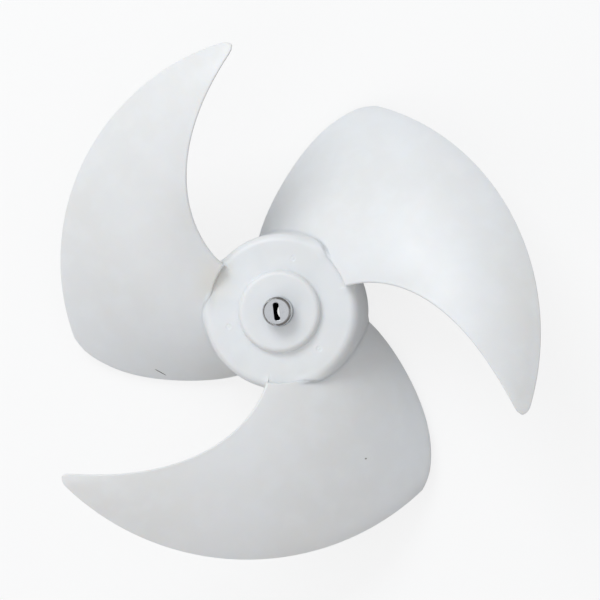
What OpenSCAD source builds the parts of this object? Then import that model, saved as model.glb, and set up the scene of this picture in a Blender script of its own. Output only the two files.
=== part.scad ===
// Three-blade condenser fan: one white plastic moulding with a turned metal shaft insert.
// The origin is on the fan's axis at the rear end of the insert, where the motor shaft goes in.
// +Z points along the axis, out of the front.
// Lengths are in millimetres and angles in degrees. Blade angles count anticlockwise, seen from the front.

/* [Hub] */
// Radius of the hub's side at its front face
hub_r = 59; // [54:0.5:62]
// How much wider the hub is at its rear rim, for the mould's draft
hub_draft = 2.5; // [1:0.5:4]
// Height of the hub, from the rear rim to the front face
hub_h = 62; // [56:1:70]
// Rounding of the hub's front rim
rim_round = 6.5; // [3:0.5:8]
// Wall of the hub's side and of its front
hub_wall = 3.2; // [2.4:0.2:4]

/* [Raised disc] */
// Radius of the raised disc in the middle of the front face
disc_r = 31; // [28:0.5:35]
// Height of the raised disc above the front face
disc_h = 6; // [3:0.5:9]
// Rounding of the raised disc's shoulder
disc_round = 4; // [1:0.5:5]
// Hollow rounding at the foot of the raised disc
disc_foot = 1.6; // [0.5:0.1:2]

/* [Gate marks] */
// Number of gate marks on the front face
gate_count = 3; // [2:1:6]
// Radius of the circle that the gate marks lie on
gate_circle_r = 41; // [38:0.5:44]
// Radius of one gate mark's dimple
gate_r = 2.5; // [1.5:0.1:3]
// Depth of the dimple
gate_depth = 0.5; // [0.3:0.1:1]
// Radius of the sheared nub in the dimple
gate_nub_r = 0.9; // [0.5:0.1:1.2]
// Angle of the first gate mark
gate_turn = 76.5; // [0:0.5:120]

/* [Blades] */
// Number of blades
blade_count = 3; // [2:1:3]
// Radius of the blade tips
tip_r = 200; // [185:1:215]
// Radius of the rear corner of each blade
corner_r = 173; // [160:1:180]
// How far a blade reaches in over the hub's front rim
root_lap = 5; // [3:0.5:6]
// Angle of the first blade's leading root
blade_turn = 20.5; // [0:0.5:120]
// Angle that the tip leads the leading root by
tip_lead = 43.5; // [30:0.5:50]
// Angle from the leading root to the trailing root
root_span = 98.5; // [85:0.5:105]
// Angle from the leading root to the rear corner
corner_span = 49.5; // [40:0.5:60]
// Rounding of the rear corner, measured along both edges
corner_round = 16; // [6:1:24]
// Rounding of the tip, measured along both edges
tip_round = 14; // [4:1:18]
// How far the trailing edge bulges out past the rear corner's angle
trail_bulge = 17.5; // [10:0.5:20]

/* [Blade heights] */
// Height of the leading root above the hub's front face
lead_root_z = 8; // [6:0.5:10]
// Height of the tip above the hub's front face
tip_z = 53; // [40:1:60]
// Depth of the trailing root below the hub's front face
trail_root_z = 54; // [46:1:54]
// Depth of the rear corner below the hub's front face
corner_z = 54; // [46:1:56]
// How far the trailing edge sags below the line between its ends
trail_sag = 6; // [0:0.5:8]
// Rise of the blade's arch over its chord
camber = 9; // [5:0.5:12]

/* [Blade thickness] */
// Thickness at the root
root_t = 4; // [3:0.1:5]
// Thickness at the tip
tip_t = 2.4; // [1.8:0.1:3]
// Share of the thickness that is left at the trailing edge
trail_share = 0.5; // [0.4:0.05:0.8]
// Radius of the fillet where a blade meets the hub's side
root_fillet = 4; // [2:0.5:5]

/* [Shaft insert] */
// Radius of the metal insert
insert_r = 11; // [9:0.5:12]
// How far the insert stands out of the raised disc
insert_stand = 12; // [8:0.5:15]
// How deep the insert's rear end lies inside the hub's rear rim
insert_depth = 30; // [22:1:36]
// Chamfer round the insert's front face
insert_chamfer = 1.7; // [0.5:0.1:2]
// Radius of the bore for the motor shaft
bore_r = 6.35; // [5:0.05:7]
// Thickness of metal between the bore's end and the front face
front_t = 5; // [3:0.5:8]
// Length of the slot in the front face, for the shaft's flat end
slot_l = 13.5; // [10:0.5:14]
// Width of the slot
slot_w = 4.4; // [3:0.1:5]
// Lean of the slot from the vertical of the front view
slot_turn = 7; // [0:1:45]
// Depth of the two grooves that lock the insert in the plastic
groove_depth = 1; // [0.6:0.1:1.5]
// Width of each groove
groove_w = 4; // [2:0.5:5]
// Height of the lower groove above the insert's rear end
groove_low_z = 8; // [4:0.5:10]
// Height of the upper groove above the insert's rear end
groove_high_z = 20; // [16:0.5:24]
// Clearance between the insert and the plastic
insert_gap = 0.02; // [0:0.01:0.05]

/* [Rear side] */
// How far the insert's rear end stands out of the sleeve
sleeve_back = 1.5; // [0.5:0.5:4]
// Wall of the sleeve round the insert
sleeve_wall = 5; // [4:0.5:7]
// Number of ribs between the sleeve and the hub's side
rib_count = 6; // [3:1:12]
// Thickness of a rib
rib_t = 2.4; // [1.6:0.1:3]
// Height of the ribs' lower edge above the insert's rear end, at the sleeve
rib_core_z = 4; // [3:0.5:12]
// Height of the ribs' lower edge above the rear rim, at the hub's side
rib_low_z = 24; // [16:1:34]

/* [Hidden] */
$fn = 96;

plastic = [0.90, 0.91, 0.92];
metal = [0.72, 0.73, 0.75];
eps = 0.01;

rim_z = -insert_depth;
face_z = rim_z + hub_h;
disc_top_z = face_z + disc_h;
insert_top_z = disc_top_z + insert_stand;
bore_end_z = insert_top_z - front_t;
sleeve_r = insert_r + sleeve_wall;
root_r = hub_r - root_lap;
// Rounding of the hollow's edge under the raised disc
hollow_round = 1;
// Shares of the chord: where the nose reaches its full thickness, and where the root fillet starts,
// is full and fades again
nose_end = 0.12;
fillet_start = 0.2;
fillet_full = 0.45;
fillet_fade = 0.9;
// Share of the thickness that is missing at the nose, and that is left at the outermost loop
nose_thin = 0.3;
edge_left = 0.45;
// Share of the span over which the stations stand close together
root_zone = 0.085;
root_stations = 4;
chord_steps = 22;
span_steps = 15;

// Points of an arc about (cx, cy), for a profile
function arc(cx, cy, r, from, to, steps) =
    [for (i = [0:steps]) let (a = from + (to - from) * i / steps) [cx + r * cos(a), cy + r * sin(a)]];

// Bezier curves with four and five control values
function bezier4(p, t) =
    let (s = 1 - t) s*s*s * p[0] + 3*s*s*t * p[1] + 3*s*t*t * p[2] + t*t*t * p[3];
function bezier5(p, t) =
    let (s = 1 - t) s*s*s*s * p[0] + 4*s*s*s*t * p[1] + 6*s*s*t*t * p[2] + 4*s*t*t*t * p[3] + t*t*t*t * p[4];

// Radius of the hub's side at a height
function hub_side_r(z) = hub_r + hub_draft * (face_z - z) / hub_h;

function ramp(x, from, to) = min(1, max(0, (x - from) / (to - from)));

// How far a corner that is rounded over a length lies inside its edges, at a distance from where they would meet
function round_drop(length, d) = pow(max(0, length / 2 - d), 2) / length;

// A blade's surface. u runs from the root (0) to the outer edge (1),
// and v from the leading edge (0) to the trailing edge (1)
function outer_len() = (tip_lead + corner_span) * PI / 180 * (tip_r + corner_r) / 2;
function outer_r(v) =
    tip_r - (tip_r - corner_r) * pow(max(0, v), 1.15)
    - round_drop(corner_round, (1 - v) * outer_len()) - round_drop(tip_round, v * outer_len());
function lead_angle(u) =
    bezier5([0, -0.1 * tip_lead, -0.5 * tip_lead, -0.8 * tip_lead, -tip_lead], u)
    + round_drop(tip_round, (1 - u) * (tip_r - root_r)) / tip_r * 180 / PI;
function trail_angle(u) =
    bezier4([root_span, corner_span + 1.07 * trail_bulge, corner_span + 0.93 * trail_bulge, corner_span], u)
    - round_drop(corner_round, (1 - u) * (corner_r - root_r)) / corner_r * 180 / PI;
function lead_z(u) = bezier4([lead_root_z, 0.5 * tip_z, 1.35 * tip_z, tip_z], u);
function trail_z(u) = -bezier4([trail_root_z, trail_root_z + trail_sag, corner_z + trail_sag, corner_z], u);
function blade_point(u, v) =
    let (
        r = root_r + u * (outer_r(v) - root_r),
        a = blade_turn + (1 - v) * lead_angle(u) + v * trail_angle(u),
        z = face_z + (1 - v) * lead_z(u) + v * trail_z(u) + 4 * v * (1 - v) * camber
    )
    [r * cos(a), r * sin(a), z];
function unit(p) = p / norm(p);
function chord_way(u, v) = unit(blade_point(u, v + eps) - blade_point(u, v - eps));
function span_way(u, v) = unit(blade_point(u + eps, v) - blade_point(u - eps, v));
function blade_normal(u, v) = unit(cross(span_way(u, v), chord_way(u, v)));

// Thickness: it thins from the root to the tip, rounds off at the leading edge and thins to the trailing edge
function edge_share(v) =
    v < nose_end ? 1 - nose_thin * pow(1 - v / nose_end, 2)
    : 1 - (1 - trail_share) * pow((v - nose_end) / (1 - nose_end), 2);
function chord_len(u) = (root_r + u * (corner_r - root_r)) * (trail_angle(u) - lead_angle(u)) * PI / 180;
function blade_t(u, v) = (tip_t + (root_t - tip_t) * pow(1 - u, 1.5)) * edge_share(v);
// What the fillet adds to each side near the hub. It fades out where the blade laps over the front rim
function fillet_add(u, v) =
    let (
        p = blade_point(u, v),
        d = max(0, norm([p[0], p[1]]) - hub_side_r(p[2])),
        reach = root_fillet * ramp(v, fillet_start, fillet_full) * ramp(v, 1 + eps, fillet_fade)
    )
    d < reach ? reach - sqrt(d * (2 * reach - d)) : 0;

// Stations: close together at the root's fillet and at the outer edge
function span_at(k) =
    let (last_u = 1 - tip_t / 3 / (tip_r - root_r))
    k <= root_stations ? root_zone * pow(k / root_stations, 0.75)
    : root_zone + (last_u - root_zone) * sin(90 * (k - root_stations) / (span_steps - root_stations));
function chord_at(i) = (1 - cos(180 * i / chord_steps)) / 2;

// One closed loop round the blade at a station, from the nose over the top to the tail and back below.
// The nose and the tail lie on the outline, so the loop's flanks start half a thickness inside it
function blade_loop(u, share) =
    let (
        nose = blade_t(u, 0) / 2 / chord_len(u),
        tail = blade_t(u, 1) / 2 / chord_len(u),
        at = [for (i = [0:chord_steps]) nose + (1 - nose - tail) * chord_at(i)],
        half = [for (v = at) share * blade_t(u, v) / 2 + fillet_add(u, v)],
        mid = [for (v = at) blade_point(u, v)],
        up = [for (v = at) blade_normal(u, v)]
    )
    concat(
        [blade_point(u, 0)],
        [for (i = [0:chord_steps]) mid[i] + half[i] * up[i]],
        [blade_point(u, 1)],
        [for (i = [chord_steps:-1:0]) mid[i] - half[i] * up[i]]
    );

module blade() {
    n = 2 * chord_steps + 4;
    loops = concat(
        [for (k = [0:span_steps]) blade_loop(span_at(k), 1)],
        [blade_loop(1, edge_left)]
    );
    last = len(loops) - 1;
    // An end is closed by strips between its top and its bottom row
    function cap(base) = concat(
        [[base, base + n - 1, base + 1]],
        [for (i = [1:chord_steps])
            let (a = base + i, b = base + n - i)
            each [[a, b, a + 1], [a + 1, b, b - 1]]],
        [[base + chord_steps + 1, base + chord_steps + 3, base + chord_steps + 2]]
    );
    polyhedron(
        points = [for (loop = loops) each loop],
        faces = concat(
            [for (k = [0:last - 1], i = [0:n - 1])
                let (a = k * n + i, b = k * n + (i + 1) % n)
                each [[a, b, a + n], [b, b + n, a + n]]],
            cap(0),
            [for (f = cap(last * n)) [f[0], f[2], f[1]]]
        )
    );
}

// The hub's outside: side with draft, rounded rim, front face and raised disc with rounded shoulder and foot
module hub_body() {
    rotate_extrude()
    polygon(concat(
        [[0, rim_z], [hub_r + hub_draft, rim_z]],
        arc(hub_r - rim_round, face_z - rim_round, rim_round, 0, 90, 12),
        arc(disc_r + disc_foot, face_z + disc_foot, disc_foot, 270, 180, 6),
        arc(disc_r - disc_round, disc_top_z - disc_round, disc_round, 0, 90, 10),
        [[0, disc_top_z]]
    ));
}

// The hollow behind the front face. It follows the outside at the wall's distance
module hub_hollow() {
    inner_round = rim_round - hub_wall / 2;
    side_r = hub_r - hub_wall;
    roof_z = face_z - hub_wall;
    rotate_extrude()
    polygon(concat(
        [[0, rim_z - eps], [side_r + hub_draft, rim_z - eps]],
        arc(side_r - inner_round, roof_z - inner_round, inner_round, 0, 90, 8),
        arc(disc_r - hub_wall, roof_z + hollow_round, hollow_round, 270, 180, 4),
        [[disc_r - hub_wall - hollow_round, disc_top_z - hub_wall], [0, disc_top_z - hub_wall]]
    ));
}

// Sleeve and ribs behind the front face
module hub_core() {
    roof_z = face_z - hub_wall / 2;
    side_z = rim_z + rib_low_z;
    in_r = insert_r + sleeve_wall / 2;
    out_r = hub_r - hub_wall / 2;
    translate([0, 0, sleeve_back])
        cylinder(h = disc_top_z - hub_wall / 2 - sleeve_back, r = sleeve_r);
    for (k = [0:rib_count - 1])
        rotate([0, 0, blade_turn + 360 / rib_count * (k + 0.5)])
        rotate([90, 0, 0])
        translate([0, 0, -rib_t / 2])
        linear_extrude(height = rib_t)
        polygon([
            [in_r, rib_core_z], [out_r, side_z],
            [out_r, roof_z - rim_round], [hub_r - rim_round, roof_z], [in_r, roof_z]
        ]);
}

// Outline of the insert's side, grown by a clearance. Used for the metal and for the seat in the plastic
function insert_side(grow) =
    let (out = insert_r + grow, in = insert_r + grow - groove_depth)
    [for (z = [groove_low_z, groove_high_z]) each [[out, z], [in, z], [in, z + groove_w], [out, z + groove_w]]];

module insert_seat() {
    rotate_extrude()
    polygon(concat(
        [[0, 0], [insert_r + insert_gap, 0]],
        insert_side(insert_gap),
        [[insert_r + insert_gap, insert_top_z], [0, insert_top_z]]
    ));
}

// A dimple with the nub that the runner left, on each gate's place
module gate_marks() {
    sphere_r = (gate_r * gate_r + gate_depth * gate_depth) / (2 * gate_depth);
    for (k = [0:gate_count - 1])
        rotate([0, 0, gate_turn + 360 / gate_count * k])
        translate([gate_circle_r, 0, face_z])
        difference() {
            translate([0, 0, sphere_r - gate_depth])
                sphere(r = sphere_r, $fn = 48);
            translate([0, 0, -2 * gate_depth])
                cylinder(h = 2.2 * gate_depth, r = gate_nub_r, $fn = 32);
        }
}

module fan_rotor() {
    color(plastic)
    difference() {
        union() {
            difference() {
                union() {
                    hub_body();
                    for (k = [0:blade_count - 1])
                        rotate([0, 0, 360 / blade_count * k])
                        blade();
                }
                hub_hollow();
            }
            hub_core();
        }
        insert_seat();
        gate_marks();
    }
}

module shaft_insert() {
    color(metal)
    difference() {
        rotate_extrude()
        polygon(concat(
            [[0, 0], [insert_r, 0]],
            insert_side(0),
            [[insert_r, insert_top_z - insert_chamfer], [insert_r - insert_chamfer, insert_top_z], [0, insert_top_z]]
        ));
        translate([0, 0, -1])
            cylinder(h = bore_end_z + 1, r = bore_r);
        rotate([0, 0, slot_turn])
            translate([0, 0, insert_top_z - front_t / 2])
            cube([slot_w, slot_l, front_t + 2], center = true);
    }
}

fan_rotor();
shaft_insert();
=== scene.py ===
"""Dresses the condenser fan blade: a fine mesh of the moulding, the turned insert, materials, light and camera."""
import math

import bmesh
import bpy
import numpy as np
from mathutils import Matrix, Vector
from mathutils.bvhtree import BVHTree


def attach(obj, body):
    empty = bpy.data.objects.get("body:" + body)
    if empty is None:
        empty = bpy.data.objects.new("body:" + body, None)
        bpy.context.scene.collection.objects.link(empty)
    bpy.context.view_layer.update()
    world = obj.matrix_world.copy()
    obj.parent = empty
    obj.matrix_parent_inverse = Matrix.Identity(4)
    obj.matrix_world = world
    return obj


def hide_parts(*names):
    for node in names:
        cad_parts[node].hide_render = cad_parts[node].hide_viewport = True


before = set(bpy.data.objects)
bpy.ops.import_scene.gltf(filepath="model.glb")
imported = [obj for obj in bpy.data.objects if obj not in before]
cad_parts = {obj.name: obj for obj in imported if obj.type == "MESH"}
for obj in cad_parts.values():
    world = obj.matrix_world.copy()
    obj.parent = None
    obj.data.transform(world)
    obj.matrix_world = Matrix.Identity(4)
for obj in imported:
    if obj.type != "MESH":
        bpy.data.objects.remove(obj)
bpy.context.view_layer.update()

MM = 0.001

# The part's own measures, in millimetres and degrees
RIM_Z, FACE_Z, DISC_Z, TOP_Z = -30.0, 32.0, 38.0, 50.0
HUB_R, HUB_DRAFT, HUB_H, RIM_ROUND, WALL = 59.0, 2.5, 62.0, 6.5, 3.2
DISC_R, DISC_ROUND, DISC_FOOT = 31.0, 4.0, 1.6
GATE_CIRCLE, GATE_R, GATE_DEPTH, NUB_R, GATE_TURN = 41.0, 2.5, 0.5, 0.9, 76.5
TIP_R, CORNER_R, ROOT_R = 200.0, 173.0, 54.0
TURN, TIP_LEAD, ROOT_SPAN, CORNER_SPAN = 20.5, 43.5, 98.5, 49.5
CORNER_ROUND, TIP_ROUND, TRAIL_BULGE = 16.0, 14.0, 17.5
LEAD_ROOT_Z, TIP_Z, TRAIL_ROOT_Z, CORNER_Z, TRAIL_SAG, CAMBER = 8.0, 53.0, 54.0, 54.0, 6.0, 9.0
ROOT_T, TIP_T, TRAIL_SHARE, ROOT_FILLET = 4.0, 2.4, 0.5, 4.0
NOSE_END, NOSE_THIN = 0.12, 0.3
# The smooth blades stay this far inside the solid's facets, at the outer edge and in height
EDGE_IN, TOP_IN = 0.15, 0.06
INSERT_R, CHAMFER, BORE_R, BORE_END = 11.0, 1.7, 6.35, 45.0
SLOT_L, SLOT_W, SLOT_TURN = 13.5, 4.4, 7.0
SLEEVE_R, SLEEVE_BACK = 16.0, 1.5
RIB_T, RIB_CORE_Z, RIB_SIDE_Z, RIB_COUNT = 2.4, 4.0, -6.0, 6


def bezier(p, t):
    n = len(p) - 1
    return sum(math.comb(n, k) * (1 - t) ** (n - k) * t ** k * c for k, c in enumerate(p))


def ramp(x, a, b):
    return np.clip((x - a) / (b - a), 0, 1)


def round_drop(length, d):
    return np.maximum(0, length / 2 - d) ** 2 / length


def outer_r(v):
    reach = math.radians(TIP_LEAD + CORNER_SPAN) * (TIP_R + CORNER_R) / 2
    return (TIP_R - EDGE_IN - (TIP_R - CORNER_R) * np.maximum(0, v) ** 1.15
            - round_drop(CORNER_ROUND, (1 - v) * reach) - round_drop(TIP_ROUND, v * reach))


def lead_angle(u):
    return (bezier([0, -0.1 * TIP_LEAD, -0.5 * TIP_LEAD, -0.8 * TIP_LEAD, -TIP_LEAD], u)
            + np.degrees(round_drop(TIP_ROUND, (1 - u) * (TIP_R - ROOT_R)) / TIP_R))


def trail_angle(u):
    return (bezier([ROOT_SPAN, CORNER_SPAN + 1.07 * TRAIL_BULGE, CORNER_SPAN + 0.93 * TRAIL_BULGE, CORNER_SPAN], u)
            - np.degrees(round_drop(CORNER_ROUND, (1 - u) * (CORNER_R - ROOT_R)) / CORNER_R))


def blade_mid(u, v):
    r = ROOT_R + u * (outer_r(v) - ROOT_R)
    a = np.radians(TURN + (1 - v) * lead_angle(u) + v * trail_angle(u))
    lead = bezier([LEAD_ROOT_Z, 0.5 * TIP_Z, 1.35 * TIP_Z, TIP_Z], u)
    trail = -bezier([TRAIL_ROOT_Z, TRAIL_ROOT_Z + TRAIL_SAG, CORNER_Z + TRAIL_SAG, CORNER_Z], u)
    z = FACE_Z - TOP_IN + (1 - v) * lead + v * trail + 4 * v * (1 - v) * CAMBER
    return np.stack([r * np.cos(a), r * np.sin(a), z], -1)


def unit(p):
    return p / np.linalg.norm(p, axis=-1, keepdims=True)


def blade_ways(u, v):
    e = 0.004
    along = unit(blade_mid(u, v + e) - blade_mid(u, v - e))
    out = unit(blade_mid(u + e, v) - blade_mid(u - e, v))
    return along, unit(np.cross(out, along))


def edge_share(v):
    near = 1 - NOSE_THIN * np.maximum(0, 1 - v / NOSE_END) ** 2
    far = 1 - (1 - TRAIL_SHARE) * np.maximum(0, (v - NOSE_END) / (1 - NOSE_END)) ** 2
    return np.where(v < NOSE_END, near, far)


def blade_half(u, v):
    return 0.5 * (TIP_T + (ROOT_T - TIP_T) * (1 - np.clip(u, 0, 1)) ** 1.5) * edge_share(v)


def hub_side(z):
    """Radius of the hub's outside at a height, with its rounded rim."""
    side = HUB_R + HUB_DRAFT * (FACE_Z - z) / HUB_H
    up = np.clip(z - (FACE_Z - RIM_ROUND), 0, RIM_ROUND)
    return side - (RIM_ROUND - np.sqrt(RIM_ROUND ** 2 - up ** 2))


def hub_top(r):
    """Height of the hub's outside over its face and its rounded rim."""
    out = np.clip(r - (HUB_R - RIM_ROUND), 0, RIM_ROUND)
    return FACE_Z - (RIM_ROUND - np.sqrt(RIM_ROUND ** 2 - out ** 2))


def fillet(p, v):
    """What the root's fillet adds to each side of the blade at a point."""
    d = np.maximum(0, np.hypot(p[..., 0], p[..., 1]) - hub_side(np.minimum(p[..., 2], FACE_Z)))
    reach = ROOT_FILLET * ramp(v, 0.2, 0.45) * ramp(v, 1.01, 0.9) + 1e-6
    return np.where(d < reach, reach - np.sqrt(np.maximum(0, d * (2 * reach - d))), 0)


def foot_drop(p):
    """How far the underside is let down on to the hub where the blade laps over its rim."""
    r = np.hypot(p[..., 0], p[..., 1])
    fall = np.maximum(0, p[..., 2] - hub_top(np.minimum(r, HUB_R)) + 1.5)
    s = ramp(r, HUB_R - 0.5, HUB_R + 6.5)
    return fall * (1 - np.sqrt(np.maximum(0, 1 - (1 - s) ** 2)))


def add_mesh(name, points, faces, smooth=True):
    mesh = bpy.data.meshes.new(name)
    mesh.from_pydata((np.asarray(points, float) * MM).tolist(), [], faces)
    mesh.validate()
    bm = bmesh.new()
    bm.from_mesh(mesh)
    bmesh.ops.remove_doubles(bm, verts=bm.verts, dist=2e-6)
    bmesh.ops.dissolve_degenerate(bm, edges=bm.edges, dist=1e-6)
    bmesh.ops.recalc_face_normals(bm, faces=bm.faces)
    bm.to_mesh(mesh)
    bm.free()
    mesh.polygons.foreach_set("use_smooth", [smooth] * len(mesh.polygons))
    obj = bpy.data.objects.new(name, mesh)
    bpy.context.scene.collection.objects.link(obj)
    return obj


def grid_faces(rows, cols, closed):
    faces = []
    for i in range(rows - 1):
        for j in range(cols if closed else cols - 1):
            k = (j + 1) % cols
            faces.append((i * cols + j, i * cols + k, (i + 1) * cols + k, (i + 1) * cols + j))
    return faces


# Blades

def blade_mesh(name, turn):
    radii = np.concatenate([np.linspace(0, 1.6, 6), np.linspace(2.4, 4, 3), np.linspace(4.5, 13, 18),
                            13 + (TIP_R - ROOT_R - 13) * (1 - np.cos(np.linspace(0, 90, 62)[1:] * math.pi / 180 * 0.985))
                            / (1 - math.cos(math.pi / 2 * 0.985))])
    shares = radii / radii[-1]
    v_at = np.unique(np.concatenate([(1 - np.cos(np.linspace(0, math.pi, 57))) / 2]))
    nose_steps, edge_steps = 6, 6
    loops = []
    span = TIP_R - ROOT_R
    edge = [("in", s) for s in shares[:-1]] + [("out", f) for f in np.linspace(0, 90, edge_steps + 1)[:]]
    for kind, value in edge:
        chord = (ROOT_R + (1 if kind == "out" else value) * (CORNER_R - ROOT_R)) * math.radians(
            float(trail_angle(min(1, value) if kind == "in" else 1) - lead_angle(min(1, value) if kind == "in" else 1)))
        base_u = 1.0 if kind == "out" else value
        nose = float(blade_half(base_u, np.array(0.0))) / chord
        tail = float(blade_half(base_u, np.array(1.0))) / chord
        v = nose + (1 - nose - tail) * v_at
        half = blade_half(base_u, v)
        edge_half = blade_half(1.0, v)
        start = 3.4 * ramp(v, 0.3, 0.42) / span
        last = 1 - edge_half / span
        if kind == "in":
            u = start + (last - start) * value
            squeeze = np.ones_like(v)
        else:
            u = last + edge_half / span * math.sin(math.radians(value))
            squeeze = np.full_like(v, max(0.0, math.cos(math.radians(value))))
        mid = blade_mid(u, v)
        along, up = blade_ways(np.clip(u, 0.005, 0.995), v)
        more = fillet(mid, v) * (squeeze > 0.99)
        inner = np.clip((u - start) * span, 0, 1.6)
        ease = 1.6 - np.sqrt(1.6 ** 2 - (1.6 - inner) ** 2)
        top_h = half * squeeze + more - ease * (kind == "in")
        low_h = half * squeeze + more
        top = mid + up * top_h[:, None]
        low = mid - up * low_h[:, None]
        drop = foot_drop(low) * ramp(v, 0.5, 0.35)
        low[:, 2] -= drop
        ring = []
        for s in range(nose_steps, -1, -1):
            t = math.pi * s / nose_steps
            h = top_h[0] if t <= math.pi / 2 else low_h[0]
            p = mid[0] + up[0] * h * math.cos(t) - along[0] * half[0] * squeeze[0] * math.sin(t)
            if t > math.pi / 2:
                p = p - np.array([0, 0, drop[0] * math.sin(t - math.pi / 2) ** 0.5])
            ring.append(p)
        ring.extend(top[1:-1])
        for s in range(nose_steps + 1):
            t = math.pi * s / nose_steps
            h = top_h[-1] if t <= math.pi / 2 else low_h[-1]
            ring.append(mid[-1] + up[-1] * h * math.cos(t) + along[-1] * half[-1] * squeeze[-1] * math.sin(t))
        ring.extend(low[-2:0:-1])
        loops.append(np.array(ring))
    points = np.concatenate(loops)
    cols = len(loops[0])
    faces = grid_faces(len(loops), cols, True)
    # The inner end is closed by strips between its top and its bottom row
    n_mid = len(v_at) - 2
    top_row = list(range(nose_steps // 2, nose_steps + 1 + n_mid + nose_steps // 2 + 1))
    low_row = [(nose_steps // 2 - k) % cols for k in range(len(top_row))]
    for k in range(len(top_row) - 1):
        a, b, c, d = top_row[k], top_row[k + 1], low_row[k + 1], low_row[k]
        faces.append(tuple(dict.fromkeys((a, b, c, d))))
    a = math.radians(turn)
    turned = points @ np.array([[math.cos(a), math.sin(a), 0], [-math.sin(a), math.cos(a), 0], [0, 0, 1]])
    return add_mesh(name, turned, [f for f in faces if len(f) > 2])


# Hub

def arc(cx, cy, r, a, b, steps):
    t = np.radians(np.linspace(a, b, steps + 1))
    return [(cx + r * math.cos(x), cy + r * math.sin(x)) for x in t]


def line(p, q, steps):
    return [(p[0] + (q[0] - p[0]) * k / steps, p[1] + (q[1] - p[1]) * k / steps) for k in range(1, steps)]


def revolve(name, profile, segments, closed_profile=True, relief=None):
    t = np.linspace(0, 2 * math.pi, segments, endpoint=False)
    prof = np.array(profile)
    pts = np.stack([prof[:, None, 0] * np.cos(t), prof[:, None, 0] * np.sin(t),
                    np.repeat(prof[:, 1:2], segments, 1)], -1)
    if relief is not None:
        pts[..., 2] += relief(pts[..., 0], pts[..., 1], pts[..., 2])
    rows = len(profile)
    faces = grid_faces(rows, segments, True)
    if closed_profile:
        faces += [((rows - 1) * segments + j, (rows - 1) * segments + (j + 1) % segments, (j + 1) % segments, j)
                  for j in range(segments)]
    return add_mesh(name, pts.reshape(-1, 3), faces)


def gate_relief(x, y, z):
    """Dimples with a sheared nub on the hub's face."""
    out = np.zeros_like(x)
    for k in range(3):
        a = math.radians(GATE_TURN + 120 * k)
        d = np.hypot(x - GATE_CIRCLE * math.cos(a), y - GATE_CIRCLE * math.sin(a))
        dish = -GATE_DEPTH * np.maximum(0, 1 - (d / GATE_R) ** 2) ** 1.0
        nub = 0.75 * GATE_DEPTH * np.clip((NUB_R + 0.25 - d) / 0.4, 0, 1)
        lip = 0.08 * np.exp(-((d - GATE_R - 0.25) / 0.35) ** 2)
        out += dish + nub + lip
    return np.where(np.abs(z - FACE_Z) < 0.01, out, 0)


hub_profile = (
    [(INSERT_R + 0.03, 30.0), (INSERT_R + 0.03, DISC_Z - 0.5)] + arc(INSERT_R + 0.53, DISC_Z - 0.5, 0.5, 180, 90, 4)
    + line((INSERT_R + 0.53, DISC_Z), (DISC_R - DISC_ROUND, DISC_Z), 6)
    + arc(DISC_R - DISC_ROUND, DISC_Z - DISC_ROUND, DISC_ROUND, 90, 0, 12)
    + arc(DISC_R + DISC_FOOT, FACE_Z + DISC_FOOT, DISC_FOOT, 180, 270, 7)
    + line((DISC_R + DISC_FOOT, FACE_Z), (38, FACE_Z), 5)
    + [(38 + 0.4 * k, FACE_Z) for k in range(16)]
    + line((44.4, FACE_Z), (HUB_R - RIM_ROUND, FACE_Z), 5)
    + arc(HUB_R - RIM_ROUND, FACE_Z - RIM_ROUND, RIM_ROUND, 90, 2.3, 22)
    + line((HUB_R + 0.27, FACE_Z - RIM_ROUND), (HUB_R + HUB_DRAFT, RIM_Z + 0.8), 18)
    + arc(HUB_R + HUB_DRAFT - 0.8, RIM_Z + 0.8, 0.8, 2, -90, 5)
    + arc(HUB_R + HUB_DRAFT - WALL + 0.5, RIM_Z + 0.5, 0.5, -90, -180, 3)
    + line((HUB_R + HUB_DRAFT - WALL, RIM_Z + 0.5), (HUB_R - WALL, FACE_Z - WALL - 4.9), 8)
    + arc(HUB_R - WALL - 4.9, FACE_Z - WALL - 4.9, 4.9, 0, 90, 8)
    + [(DISC_R - WALL + 1, FACE_Z - WALL), (DISC_R - WALL, FACE_Z - WALL + 1), (DISC_R - WALL - 1, DISC_Z - WALL),
       (INSERT_R + 3, DISC_Z - WALL), (INSERT_R + 2, 30.0)]
)
hub = revolve("rotor_hub", hub_profile, 480, relief=gate_relief)

sleeve_profile = (
    [(INSERT_R + 0.03, 36.0), (INSERT_R + 0.03, SLEEVE_BACK + 0.4)] + arc(INSERT_R + 0.43, SLEEVE_BACK + 0.4, 0.4, 180, 270, 3)
    + arc(SLEEVE_R - 0.8, SLEEVE_BACK + 0.8, 0.8, -90, 0, 5) + line((SLEEVE_R, SLEEVE_BACK + 0.8), (SLEEVE_R, 36.0), 6) + [(SLEEVE_R, 36.0)]
)
sleeve = revolve("rotor_sleeve", sleeve_profile, 96)


def rib_mesh(name, turn):
    inner, outer, roof = INSERT_R + 2.5, HUB_R - 1.0, FACE_Z - 1.6
    lower = [(inner + (outer - inner) * k / 16, RIB_CORE_Z + (RIB_SIDE_Z - RIB_CORE_Z) * k / 16) for k in range(17)]
    lows, points = 17, []
    for x, z in lower:
        for off, dz in ((-1, 0.5), (-0.55, 0.0), (0.55, 0.0), (1, 0.5)):
            points.append((x, off * RIB_T / 2, z + dz))
        points.append((x, RIB_T / 2, roof if x < HUB_R - 6 else roof - (x - HUB_R + 6)))
        points.append((x, -RIB_T / 2, roof if x < HUB_R - 6 else roof - (x - HUB_R + 6)))
    faces = grid_faces(lows, 6, True) + [tuple(range(5, -1, -1)), tuple((lows - 1) * 6 + k for k in range(6))]
    a = math.radians(turn)
    p = np.array(points) @ np.array([[math.cos(a), math.sin(a), 0], [-math.sin(a), math.cos(a), 0], [0, 0, 1]])
    return add_mesh(name, p, faces)


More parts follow.
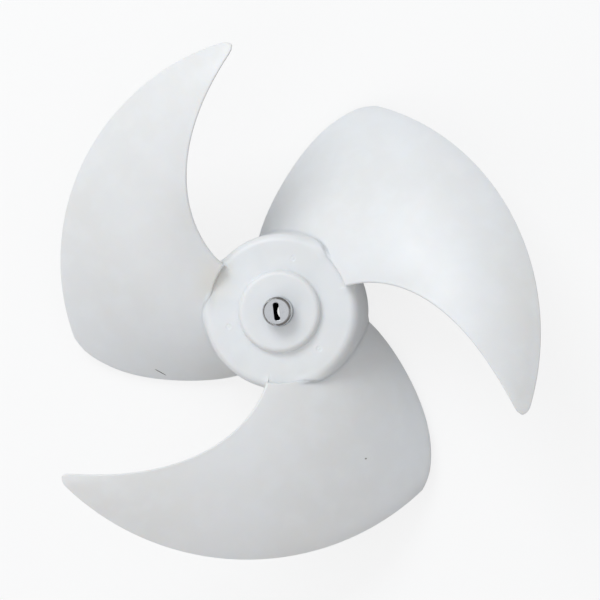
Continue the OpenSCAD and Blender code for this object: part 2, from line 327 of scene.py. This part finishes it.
blades = [blade_mesh("blade_%d" % k, 120 * k) for k in range(3)]
parts = [hub, sleeve] + blades
parts += [rib_mesh("rib_%d" % k, TURN + 360 / RIB_COUNT * (k + 0.5)) for k in range(RIB_COUNT)]


def blade_share(x, y):
    """Share of the root's span, from the leading root, at a place round the hub."""
    a = (np.degrees(np.arctan2(y, x)) - TURN) % 120
    return a / ROOT_SPAN


def soften_meeting():
    """Swells the hub's skin towards the blades, as the mould's fillet does."""
    tree_bm = bmesh.new()
    for b in blades:
        tree_bm.from_mesh(b.data)
    tree = BVHTree.FromBMesh(tree_bm)
    mesh = hub.data
    co = np.empty(len(mesh.vertices) * 3)
    mesh.vertices.foreach_get("co", co)
    co = co.reshape(-1, 3)
    no = np.array([v.normal for v in mesh.vertices])
    r = np.hypot(co[:, 0], co[:, 1]) / MM
    reach = (1.0 + 6.0 * ramp(blade_share(co[:, 0], co[:, 1]), 0.12, 0.4)) * MM
    near = np.nonzero((r > HUB_R - RIM_ROUND - 6) & (co[:, 2] > (RIM_Z + 3) * MM) & (no[:, 2] > -0.2)
                      & ((r > HUB_R - 1) | (co[:, 2] > (FACE_Z - RIM_ROUND) * MM)))[0]
    for i in near:
        hit = tree.find_nearest(Vector(co[i]), reach[i])
        if hit[0] is None:
            continue
        inside = (Vector(co[i]) - hit[0]).dot(hit[1]) < 0
        d = 0.0 if inside else hit[3]
        co[i] += no[i] * reach[i] / 4 * (1 - d / reach[i]) ** 2
    mesh.vertices.foreach_set("co", co.ravel())
    mesh.update()
    tree_bm.free()


soften_meeting()


def join(objs, name):
    bm = bmesh.new()
    for o in objs:
        bm.from_mesh(o.data)
    mesh = bpy.data.meshes.new(name)
    bm.to_mesh(mesh)
    bm.free()
    for o in objs:
        bpy.data.objects.remove(o)
    obj = bpy.data.objects.new(name, mesh)
    bpy.context.scene.collection.objects.link(obj)
    return obj


def sharpen(obj, degrees):
    """Smooth shading with hard edges only where the surface turns by more than an angle."""
    mesh = obj.data
    mesh.polygons.foreach_set("use_smooth", [True] * len(mesh.polygons))
    mesh.set_sharp_from_angle(angle=math.radians(degrees))


rotor = join(parts, "rotor_moulding")
sharpen(rotor, 42)

# Insert

insert_profile = (
    [(BORE_R, 0.3), (BORE_R + 0.3, 0.0), (INSERT_R - 0.4, 0.0), (INSERT_R, 0.4)]
    + line((INSERT_R, 0.4), (INSERT_R, TOP_Z - CHAMFER - 0.15), 8) + [(INSERT_R, TOP_Z - CHAMFER - 0.15)]
    + [(INSERT_R - 0.05, TOP_Z - CHAMFER + 0.02), (INSERT_R - CHAMFER + 0.1, TOP_Z - 0.12), (INSERT_R - CHAMFER - 0.1, TOP_Z)]
)


def insert_mesh():
    """The insert's skin: a revolved side and bore, and a front face with a round-ended slot through to the bore."""
    seg = 192
    t = np.linspace(0, 2 * math.pi, seg, endpoint=False)
    rows = [np.stack([r * np.cos(t), r * np.sin(t), np.full(seg, z)], -1) for r, z in insert_profile]
    a = math.radians(90 + SLOT_TURN)
    ca, sa = math.cos(a), math.sin(a)

    def slot_ring(grow, z):
        ring = []
        for x in t:
            # the slot's outline in the direction of each segment: a bar with round corners
            dx, dy = math.cos(x) * ca + math.sin(x) * sa, -math.cos(x) * sa + math.sin(x) * ca
            lo, hi = 0.0, 12.0
            for _ in range(40):
                m = (lo + hi) / 2
                qx, qy = abs(m * dx) - (SLOT_L / 2 - 1.7), abs(m * dy) - (SLOT_W / 2 - 1.7)
                d = math.hypot(max(qx, 0), max(qy, 0)) + min(max(qx, qy), 0) - 1.7
                lo, hi = (m, hi) if d < grow else (lo, m)
            ring.append((lo * math.cos(x), lo * math.sin(x), z))
        return np.array(ring)

    face_out = rows[-1]
    lip = slot_ring(0.25, TOP_Z)
    for s in (0.12, 0.3, 0.55, 0.8):
        rows.append(face_out * (1 - s) + lip * s)
    rows += [lip, slot_ring(0.08, TOP_Z - 0.07), slot_ring(0.0, TOP_Z - 0.25), slot_ring(0.0, BORE_END)]
    bore_top = np.stack([BORE_R * np.cos(t), BORE_R * np.sin(t), np.full(seg, BORE_END)], -1)
    points = np.concatenate(rows + [bore_top])
    faces = grid_faces(len(rows) + 1, seg, True)
    last = len(rows) * seg
    faces += [(last + j, last + (j + 1) % seg, (j + 1) % seg, j) for j in range(seg)]
    return add_mesh("insert_turned", points, faces)


insert = insert_mesh()
sharpen(insert, 28)


# Materials

def material(name):
    m = bpy.data.materials.new(name)
    m.use_nodes = True
    nt = m.node_tree
    nt.nodes.clear()
    out = nt.nodes.new("ShaderNodeOutputMaterial")
    return m, nt, out


def node(nt, kind, **values):
    n = nt.nodes.new(kind)
    for key, value in values.items():
        if hasattr(n, key) and key not in n.inputs:
            setattr(n, key, value)
        else:
            n.inputs[key].default_value = value
    return n


def mix_color(nt, factor, a, b):
    m = nt.nodes.new("ShaderNodeMix")
    m.data_type = "RGBA"
    for sock, value in ((m.inputs[0], factor), (m.inputs[6], a), (m.inputs[7], b)):
        if isinstance(value, bpy.types.NodeSocket):
            nt.links.new(value, sock)
        else:
            sock.default_value = value
    return m.outputs[2]


def map_range(nt, value, a, b, c, d, smooth=True):
    m = nt.nodes.new("ShaderNodeMapRange")
    m.interpolation_type = "SMOOTHSTEP" if smooth else "LINEAR"
    nt.links.new(value, m.inputs[0])
    for i, x in enumerate((a, b, c, d)):
        m.inputs[i + 1].default_value = x
    return m.outputs[0]


def spot(nt, coords, place, size, turn=0.0):
    """1 inside an ellipsoid of the given half sizes in metres, fading to 0 at its rim."""
    m = nt.nodes.new("ShaderNodeMapping")
    m.vector_type = "TEXTURE"
    m.inputs["Location"].default_value = place
    m.inputs["Rotation"].default_value = (0, 0, turn)
    m.inputs["Scale"].default_value = size
    nt.links.new(coords, m.inputs["Vector"])
    g = nt.nodes.new("ShaderNodeTexGradient")
    g.gradient_type = "SPHERICAL"
    nt.links.new(m.outputs[0], g.inputs[0])
    return g.outputs["Fac"]


def noise(nt, coords, scale, detail=2.0, rough=0.5):
    n = nt.nodes.new("ShaderNodeTexNoise")
    n.inputs["Scale"].default_value = scale
    n.inputs["Detail"].default_value = detail
    n.inputs["Roughness"].default_value = rough
    nt.links.new(coords, n.inputs["Vector"])
    return n.outputs["Fac"]


def plastic():
    m, nt, out = material("white_plastic")
    coords = node(nt, "ShaderNodeTexCoord").outputs["Object"]
    base = (0.83, 0.835, 0.84, 1)
    broad = map_range(nt, noise(nt, coords, 9.0, 2.0), 0.35, 0.65, 0, 1)
    tone = mix_color(nt, broad, base, (0.81, 0.808, 0.80, 1))
    cloud = map_range(nt, noise(nt, coords, 60.0, 3.0), 0.4, 0.7, 0, 0.35)
    tone = mix_color(nt, cloud, tone, (0.86, 0.87, 0.88, 1))
    # A painted warm shade where one blade's root blends into the hub; a hairline scratch and a speck, as on the real
    # one
    tone = mix_color(nt, map_range(nt, spot(nt, coords, (-0.050, 0.024, 0.031), (0.022, 0.03, 0.03)), 0, 1, 0, 0.5),
                     tone, (0.80, 0.76, 0.66, 1))
    hair = map_range(nt, spot(nt, coords, (-0.1025, -0.0485, 0.0), (0.0052, 0.00035, 0.2), -0.54), 0.0, 0.12, 0, 1)
    speck = map_range(nt, spot(nt, coords, (0.0635, -0.112, 0.0), (0.0009, 0.0007, 0.2)), 0.0, 0.3, 0, 0.8)
    tone = mix_color(nt, hair, tone, (0.03, 0.03, 0.03, 1))
    tone = mix_color(nt, speck, tone, (0.12, 0.11, 0.10, 1))
    rough = map_range(nt, noise(nt, coords, 45.0, 3.0), 0.3, 0.7, 0.36, 0.46)
    bump1 = node(nt, "ShaderNodeBump", Strength=0.10)
    bump1.inputs["Distance"].default_value = 0.0002
    nt.links.new(noise(nt, coords, 1800.0, 2.0), bump1.inputs["Height"])
    bump2 = node(nt, "ShaderNodeBump", Strength=0.25)
    bump2.inputs["Distance"].default_value = 0.0006
    nt.links.new(noise(nt, coords, 55.0, 3.0), bump2.inputs["Height"])
    nt.links.new(bump1.outputs[0], bump2.inputs["Normal"])
    s = nt.nodes.new("ShaderNodeBsdfPrincipled")
    s.inputs["IOR"].default_value = 1.48
    s.inputs["Subsurface Weight"].default_value = 0.3
    s.inputs["Subsurface Radius"].default_value = (1.0, 0.75, 0.55)
    s.inputs["Subsurface Scale"].default_value = 0.006
    nt.links.new(tone, s.inputs["Base Color"])
    nt.links.new(rough, s.inputs["Roughness"])
    nt.links.new(bump2.outputs[0], s.inputs["Normal"])
    nt.links.new(s.outputs[0], out.inputs[0])
    return m


def steel():
    m, nt, out = material("turned_steel")
    coords = node(nt, "ShaderNodeTexCoord").outputs["Object"]
    # Turning marks: fine rings about the axis, and faint streaks along the side
    sep = node(nt, "ShaderNodeSeparateXYZ")
    nt.links.new(coords, sep.inputs[0])
    flat = node(nt, "ShaderNodeCombineXYZ")
    nt.links.new(sep.outputs[0], flat.inputs[0])
    nt.links.new(sep.outputs[1], flat.inputs[1])
    length = node(nt, "ShaderNodeVectorMath", operation="LENGTH")
    nt.links.new(flat.outputs[0], length.inputs[0])
    rings = node(nt, "ShaderNodeCombineXYZ")
    nt.links.new(length.outputs["Value"], rings.inputs[0])
    nt.links.new(sep.outputs[2], rings.inputs[2])
    ring_noise = noise(nt, rings.outputs[0], 2600.0, 2.0)
    tone = mix_color(nt, map_range(nt, ring_noise, 0.3, 0.7, 0, 1), (0.78, 0.79, 0.80, 1), (0.66, 0.67, 0.69, 1))
    tone = mix_color(nt, map_range(nt, noise(nt, coords, 320.0, 3.0), 0.5, 0.8, 0, 0.4), tone, (0.60, 0.61, 0.64, 1))
    rough = map_range(nt, noise(nt, coords, 500.0, 2.0), 0.3, 0.7, 0.14, 0.24)
    bump = node(nt, "ShaderNodeBump", Strength=0.12)
    bump.inputs["Distance"].default_value = 0.0001
    nt.links.new(ring_noise, bump.inputs["Height"])
    s = nt.nodes.new("ShaderNodeBsdfPrincipled")
    s.inputs["Metallic"].default_value = 1.0
    nt.links.new(tone, s.inputs["Base Color"])
    nt.links.new(rough, s.inputs["Roughness"])
    nt.links.new(bump.outputs[0], s.inputs["Normal"])
    nt.links.new(s.outputs[0], out.inputs[0])
    return m


def dark_hole():
    m, nt, out = material("bore_shadow")
    coords = node(nt, "ShaderNodeTexCoord").outputs["Object"]
    s = nt.nodes.new("ShaderNodeBsdfPrincipled")
    tone = mix_color(nt, noise(nt, coords, 900.0, 2.0), (0.012, 0.012, 0.016, 1), (0.03, 0.03, 0.04, 1))
    nt.links.new(tone, s.inputs["Base Color"])
    s.inputs["Roughness"].default_value = 0.55
    nt.links.new(s.outputs[0], out.inputs[0])
    return m


plastic_mat, steel_mat = plastic(), steel()
rotor.data.materials.clear()
rotor.data.materials.append(plastic_mat)
insert.data.materials.clear()
insert.data.materials.append(steel_mat)
insert.data.materials.append(dark_hole())
for f in insert.data.polygons:
    c = f.center / MM
    if c.z < TOP_Z - 0.2 and math.hypot(c.x, c.y) < INSERT_R - CHAMFER - 1 and c.z > 0.5:
        f.material_index = 1

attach(rotor, "root")
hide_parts("fan_rotor")
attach(insert, "root")
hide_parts("shaft_insert")


# Floor, world and light

def floor_mesh():
    bm = bmesh.new()
    bmesh.ops.create_circle(bm, cap_ends=True, radius=6.0, segments=128)
    mesh = bpy.data.meshes.new("floor")
    bm.to_mesh(mesh)
    bm.free()
    obj = bpy.data.objects.new("floor", mesh)
    obj.location = (0, 0, RIM_Z * MM - 0.0002)
    bpy.context.scene.collection.objects.link(obj)
    return obj


def floor_material():
    m, nt, out = material("floor_white")
    path = node(nt, "ShaderNodeLightPath")
    diffuse = node(nt, "ShaderNodeBsdfDiffuse")
    diffuse.inputs["Color"].default_value = (0.82, 0.82, 0.82, 1)
    glow = node(nt, "ShaderNodeEmission")
    glow.inputs["Color"].default_value = (1, 1, 1, 1)
    glow.inputs["Strength"].default_value = 1.0
    mix = node(nt, "ShaderNodeMixShader")
    share = node(nt, "ShaderNodeMath", operation="MULTIPLY")
    nt.links.new(path.outputs["Is Camera Ray"], share.inputs[0])
    share.inputs[1].default_value = 0.8
    nt.links.new(share.outputs[0], mix.inputs[0])
    nt.links.new(diffuse.outputs[0], mix.inputs[1])
    nt.links.new(glow.outputs[0], mix.inputs[2])
    nt.links.new(mix.outputs[0], out.inputs[0])
    return m


floor = floor_mesh()
floor.data.materials.append(floor_material())


def make_world():
    world = bpy.data.worlds.new("studio")
    bpy.context.scene.world = world
    world.use_nodes = True
    nt = world.node_tree
    nt.nodes.clear()
    out = nt.nodes.new("ShaderNodeOutputWorld")
    coords = node(nt, "ShaderNodeTexCoord").outputs["Generated"]
    sep = node(nt, "ShaderNodeSeparateXYZ")
    nt.links.new(coords, sep.inputs[0])
    height = map_range(nt, sep.outputs[2], 0.10, 0.75, 0, 1)
    sky = mix_color(nt, height, (0.16, 0.14, 0.12, 1), (0.95, 0.97, 1.0, 1))
    light = node(nt, "ShaderNodeBackground")
    light.inputs["Strength"].default_value = 0.75
    nt.links.new(sky, light.inputs["Color"])
    white = node(nt, "ShaderNodeBackground")
    white.inputs["Color"].default_value = (1, 1, 1, 1)
    path = node(nt, "ShaderNodeLightPath")
    mix = node(nt, "ShaderNodeMixShader")
    nt.links.new(path.outputs["Is Camera Ray"], mix.inputs[0])
    nt.links.new(light.outputs[0], mix.inputs[1])
    nt.links.new(white.outputs[0], mix.inputs[2])
    nt.links.new(mix.outputs[0], out.inputs[0])


make_world()


def area_light(name, place, target, size, power, color):
    data = bpy.data.lights.new(name, "AREA")
    data.shape = "RECTANGLE"
    data.size, data.size_y = size
    data.energy = power
    data.color = color
    obj = bpy.data.objects.new(name, data)
    obj.location = place
    obj.rotation_euler = (Vector(target) - Vector(place)).to_track_quat("-Z", "Y").to_euler()
    bpy.context.scene.collection.objects.link(obj)
    return obj


area_light("key", (-0.9, 1.6, 1.7), (0, 0, 0), (1.4, 1.0), 26, (0.93, 0.97, 1.0))
area_light("fill", (-1.2, -1.2, 1.3), (0, 0, 0), (1.2, 1.2), 5, (1.0, 0.98, 0.95))

# Camera at the photograph's angle: a slight lean to +X over the face
LEAN, FAR, PX = 0.13, 1359.0, 0.755
U0, V0 = 279.8, 311.4
right, above = (300 - U0) * PX, (V0 - 300) * PX
cam_data = bpy.data.cameras.new("photo_camera")
cam_data.sensor_width = 36
cam_data.lens = 108
cam_data.clip_start, cam_data.clip_end = 0.05, 50
cam = bpy.data.objects.new("photo_camera", cam_data)
cam.location = ((right * math.cos(LEAN) + FAR * math.sin(LEAN)) * MM, above * MM,
                (FACE_Z - right * math.sin(LEAN) + FAR * math.cos(LEAN)) * MM)
cam.rotation_euler = (0, LEAN, 0)
bpy.context.scene.collection.objects.link(cam)
bpy.context.scene.camera = cam
bpy.context.scene.view_settings.view_transform = "Standard"
